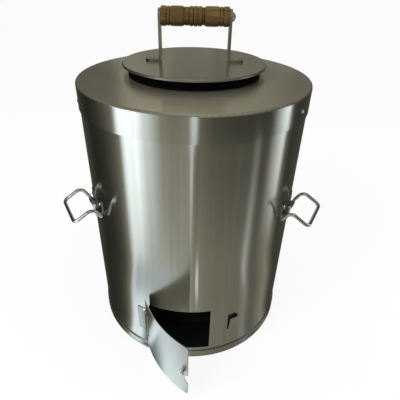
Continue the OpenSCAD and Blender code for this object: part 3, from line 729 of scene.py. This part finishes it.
    def over_floor(self, finish, light, turn, leaned, out, z):
        """Fades the narrow band on the right, and lays a bright card before the open ash door."""
        by_azimuth = finish.ranged(finish.away(leaned, self.right_band_at), 0.08, 0.04)
        faded = finish.times(by_azimuth, finish.ranged(out, 0.42, 0.34, 0.0, 0.45))
        light = finish.mix(faded, light, BLACK)
        near_drum = finish.mix(finish.ranged(leaned, -0.68, -0.8), self.card_shaded, self.card_bright)
        further = finish.mix(finish.ranged(out, 0.3, 0.36), self.card_bright, self.card_far)
        card = finish.mix(finish.ranged(out, 0.25, 0.268, smooth=True), near_drum, further)
        past_left = finish.ranged(leaned, -0.98, -0.85, smooth=True)
        before_right = finish.ranged(turn, -0.02, -0.12, smooth=True)
        on_floor = finish.ranged(z, 0.03, 0.02)
        return finish.mix(finish.times(past_left, before_right, on_floor), light, card)

    def with_line(self, finish, light, turn, out, z):
        """Adds a short bright line beside the strip, low on the wall and at the floor's edge."""
        by_azimuth = finish.ranged(finish.away(turn, self.line_at), 0.028, 0.013)
        line = finish.times(finish.ranged(z, 0.06, 0.02), finish.ranged(out, 0.36, 0.38), by_azimuth)
        return finish.mix(line, light, self.line_colour)

    def strength(self, finish, share, x, y, z):
        """The light's strength, with faint streaks and a dark flag high on the wall behind."""
        where = finish.add("ShaderNodeCombineXYZ", {0: finish.times(share, 60.0), 1: z}).outputs[0]
        streaks = finish.ranged(finish.noise(where), 0.3, 0.7, 0.88, 1.12)
        flag = finish.times(
            finish.ranged(finish.away(x, 0.02), 0.1, 0.085), finish.ranged(y, 0.1, 0.2),
            finish.ranged(z, 0.68, 0.69), finish.ranged(z, 0.722, 0.714),
        )
        strength = finish.ranged(z, 0.69, 0.75, self.wall_strength, self.crown_strength)
        return finish.times(strength, streaks, finish.ranged(flag, 0.0, 1.0, 1.0, 0.15))

    def tent_light(self):
        """Light of the tent by place: leaning bands, and what lies on the floor and stands behind."""
        finish = Finish("tent_light", WHITE, 1.0)
        emission = finish.add("ShaderNodeEmission")
        finish.show(emission)
        x, y, z = finish.parts()
        turn = finish.math("ARCTAN2", x, finish.times(y, -1.0))
        out = finish.math("SQRT", finish.plus(finish.math("POWER", x, 2.0), finish.math("POWER", y, 2.0)))
        # Bands lean over the floor so that the drum mirrors them nearly upright down to its foot
        nearness = finish.ranged(out, self.lean_from, SHELL_R)
        lean = finish.math("MULTIPLY_ADD", finish.math("POWER", nearness, 2.0), self.lean_most, 1.0)
        leaned = finish.times(turn, lean)
        share = self.share_round(finish, turn, leaned, z)
        light = self.wall_and_crown(finish, share, z)
        light = self.over_floor(finish, light, turn, leaned, out, z)
        light = self.with_line(finish, light, turn, out, z)
        finish.feed(emission.inputs["Color"], light)
        finish.feed(emission.inputs["Strength"], self.strength(finish, share, x, y, z))
        return finish

    def tent(self, radius):
        """Floor, wall and crown of the tent, which show only in mirrored light."""
        outline = (
            (SHELL_R, self.tent_floor), (radius, self.tent_floor), (radius, self.tent_ring),
            (radius, self.tent_top), (self.crown_hole, self.crown_top),
        )
        points = [(0.0, -out, up) for out, up in outline]
        shape = spun(points, self.tent_steps, (0.0, 0.0, 1.0), (0.0, 0.0, 0.0), closed=False)
        tent = thing_from("tent", shape, self.tent_light())
        tent.visible_camera = tent.visible_diffuse = tent.visible_shadow = False
        tent.visible_transmission = tent.visible_volume_scatter = False

    def floor(self):
        """Pale floor. It shows the camera and the metal its white, and keeps the shadow."""
        finish = Finish("pale_floor", (0.86, 0.86, 0.86), 0.9)
        white = finish.add("ShaderNodeEmission", {"Color": WHITE, "Strength": 1.0})
        path = finish.add("ShaderNodeLightPath").outputs
        seen = finish.math("MAXIMUM", path["Is Camera Ray"], path["Is Glossy Ray"])
        seen = finish.math("MAXIMUM", seen, path["Is Transmission Ray"])
        amount = finish.times(seen, self.floor_white)
        finish.show(finish.add("ShaderNodeMixShader", {
            0: amount, 1: finish.shader.outputs[0], 2: white.outputs[0],
        }))
        shape = bmesh.new()
        bmesh.ops.create_grid(shape, x_segments=4, y_segments=4, size=self.floor_half)
        for vert in shape.verts:
            vert.co.z = self.floor_z
        thing_from("floor", shape, finish)

    def sky(self, context, studio):
        """White to the camera, to mirrors and to glass, and softer to everything else."""
        world = bpy.data.worlds.new("soft_sky")
        context.scene.world = world
        world.use_nodes = True
        tree = world.node_tree
        tree.nodes.clear()
        path = tree.nodes.new("ShaderNodeLightPath").outputs
        seen = path["Is Camera Ray"]
        for name in ("Is Glossy Ray", "Is Transmission Ray"):
            either = tree.nodes.new("ShaderNodeMath")
            either.operation = "MAXIMUM"
            tree.links.new(seen, either.inputs[0])
            tree.links.new(path[name], either.inputs[1])
            seen = either.outputs[0]
        mix = tree.nodes.new("ShaderNodeMixShader")
        tree.links.new(seen, mix.inputs[0])
        for slot, strength in ((1, studio.light), (2, 1.0)):
            light = tree.nodes.new("ShaderNodeBackground")
            light.inputs["Color"].default_value = (*WHITE, 1.0)
            light.inputs["Strength"].default_value = strength
            tree.links.new(light.outputs[0], mix.inputs[slot])
        output = tree.nodes.new("ShaderNodeOutputWorld")
        tree.links.new(mix.outputs[0], output.inputs["Surface"])

    def lamp(self, context, name, place, width, power):
        """A round soft lamp that neither the camera nor the metal sees."""
        data = bpy.data.lights.new(name, "AREA")
        data.shape = "DISK"
        data.size = width
        data.energy = power
        lamp = bpy.data.objects.new(name, data)
        context.scene.collection.objects.link(lamp)
        aimed = (Vector(self.lamp_aim) - Vector(place)).to_track_quat("-Z", "Y")
        lamp.matrix_world = Matrix.Translation(place) @ aimed.to_matrix().to_4x4()
        lamp.visible_glossy = lamp.visible_camera = False

    def execute(self, context):
        studio = context.scene.tandoor.studio
        context.scene.view_settings.view_transform = "Standard"
        self.camera(context, studio)
        self.floor()
        self.tent(studio.tent_radius)
        self.sky(context, studio)
        for lamp in self.lamps:
            self.lamp(context, *lamp)
        return {"FINISHED"}


STEPS = (
    TANDOOR_OT_studio, TANDOOR_OT_drum, TANDOOR_OT_door, TANDOOR_OT_lid, TANDOOR_OT_bails,
    TANDOOR_OT_mouth, TANDOOR_OT_inside, TANDOOR_OT_wooden_grip,
)


class TANDOOR_PT_panel(bpy.types.Panel):
    """Lists the tandoor's steps and settings"""

    bl_idname = "TANDOOR_PT_panel"
    bl_label = "Charcoal Tandoor"
    bl_space_type = "VIEW_3D"
    bl_region_type = "UI"
    bl_category = "Tandoor"

    def draw(self, context):
        for step in STEPS:
            self.layout.operator(step.bl_idname)
        settings = context.scene.tandoor
        for group in (settings.steel, settings.grip, settings.clay, settings.studio):
            box = self.layout.box()
            for name in group.__annotations__:
                box.prop(group, name)


GROUPS = (TandoorSteel, TandoorGrip, TandoorClay, TandoorStudio, TandoorSettings)
CLASSES = (*GROUPS, *STEPS, TANDOOR_PT_panel)


def register():
    for kind in CLASSES:
        bpy.utils.register_class(kind)
    bpy.types.Scene.tandoor = PointerProperty(type=TandoorSettings)


def unregister():
    del bpy.types.Scene.tandoor
    for kind in reversed(CLASSES):
        bpy.utils.unregister_class(kind)


def main():
    register()
    for step in STEPS:
        group, name = step.bl_idname.split(".")
        getattr(getattr(bpy.ops, group), name)()


if __name__ == "__main__":
    main()
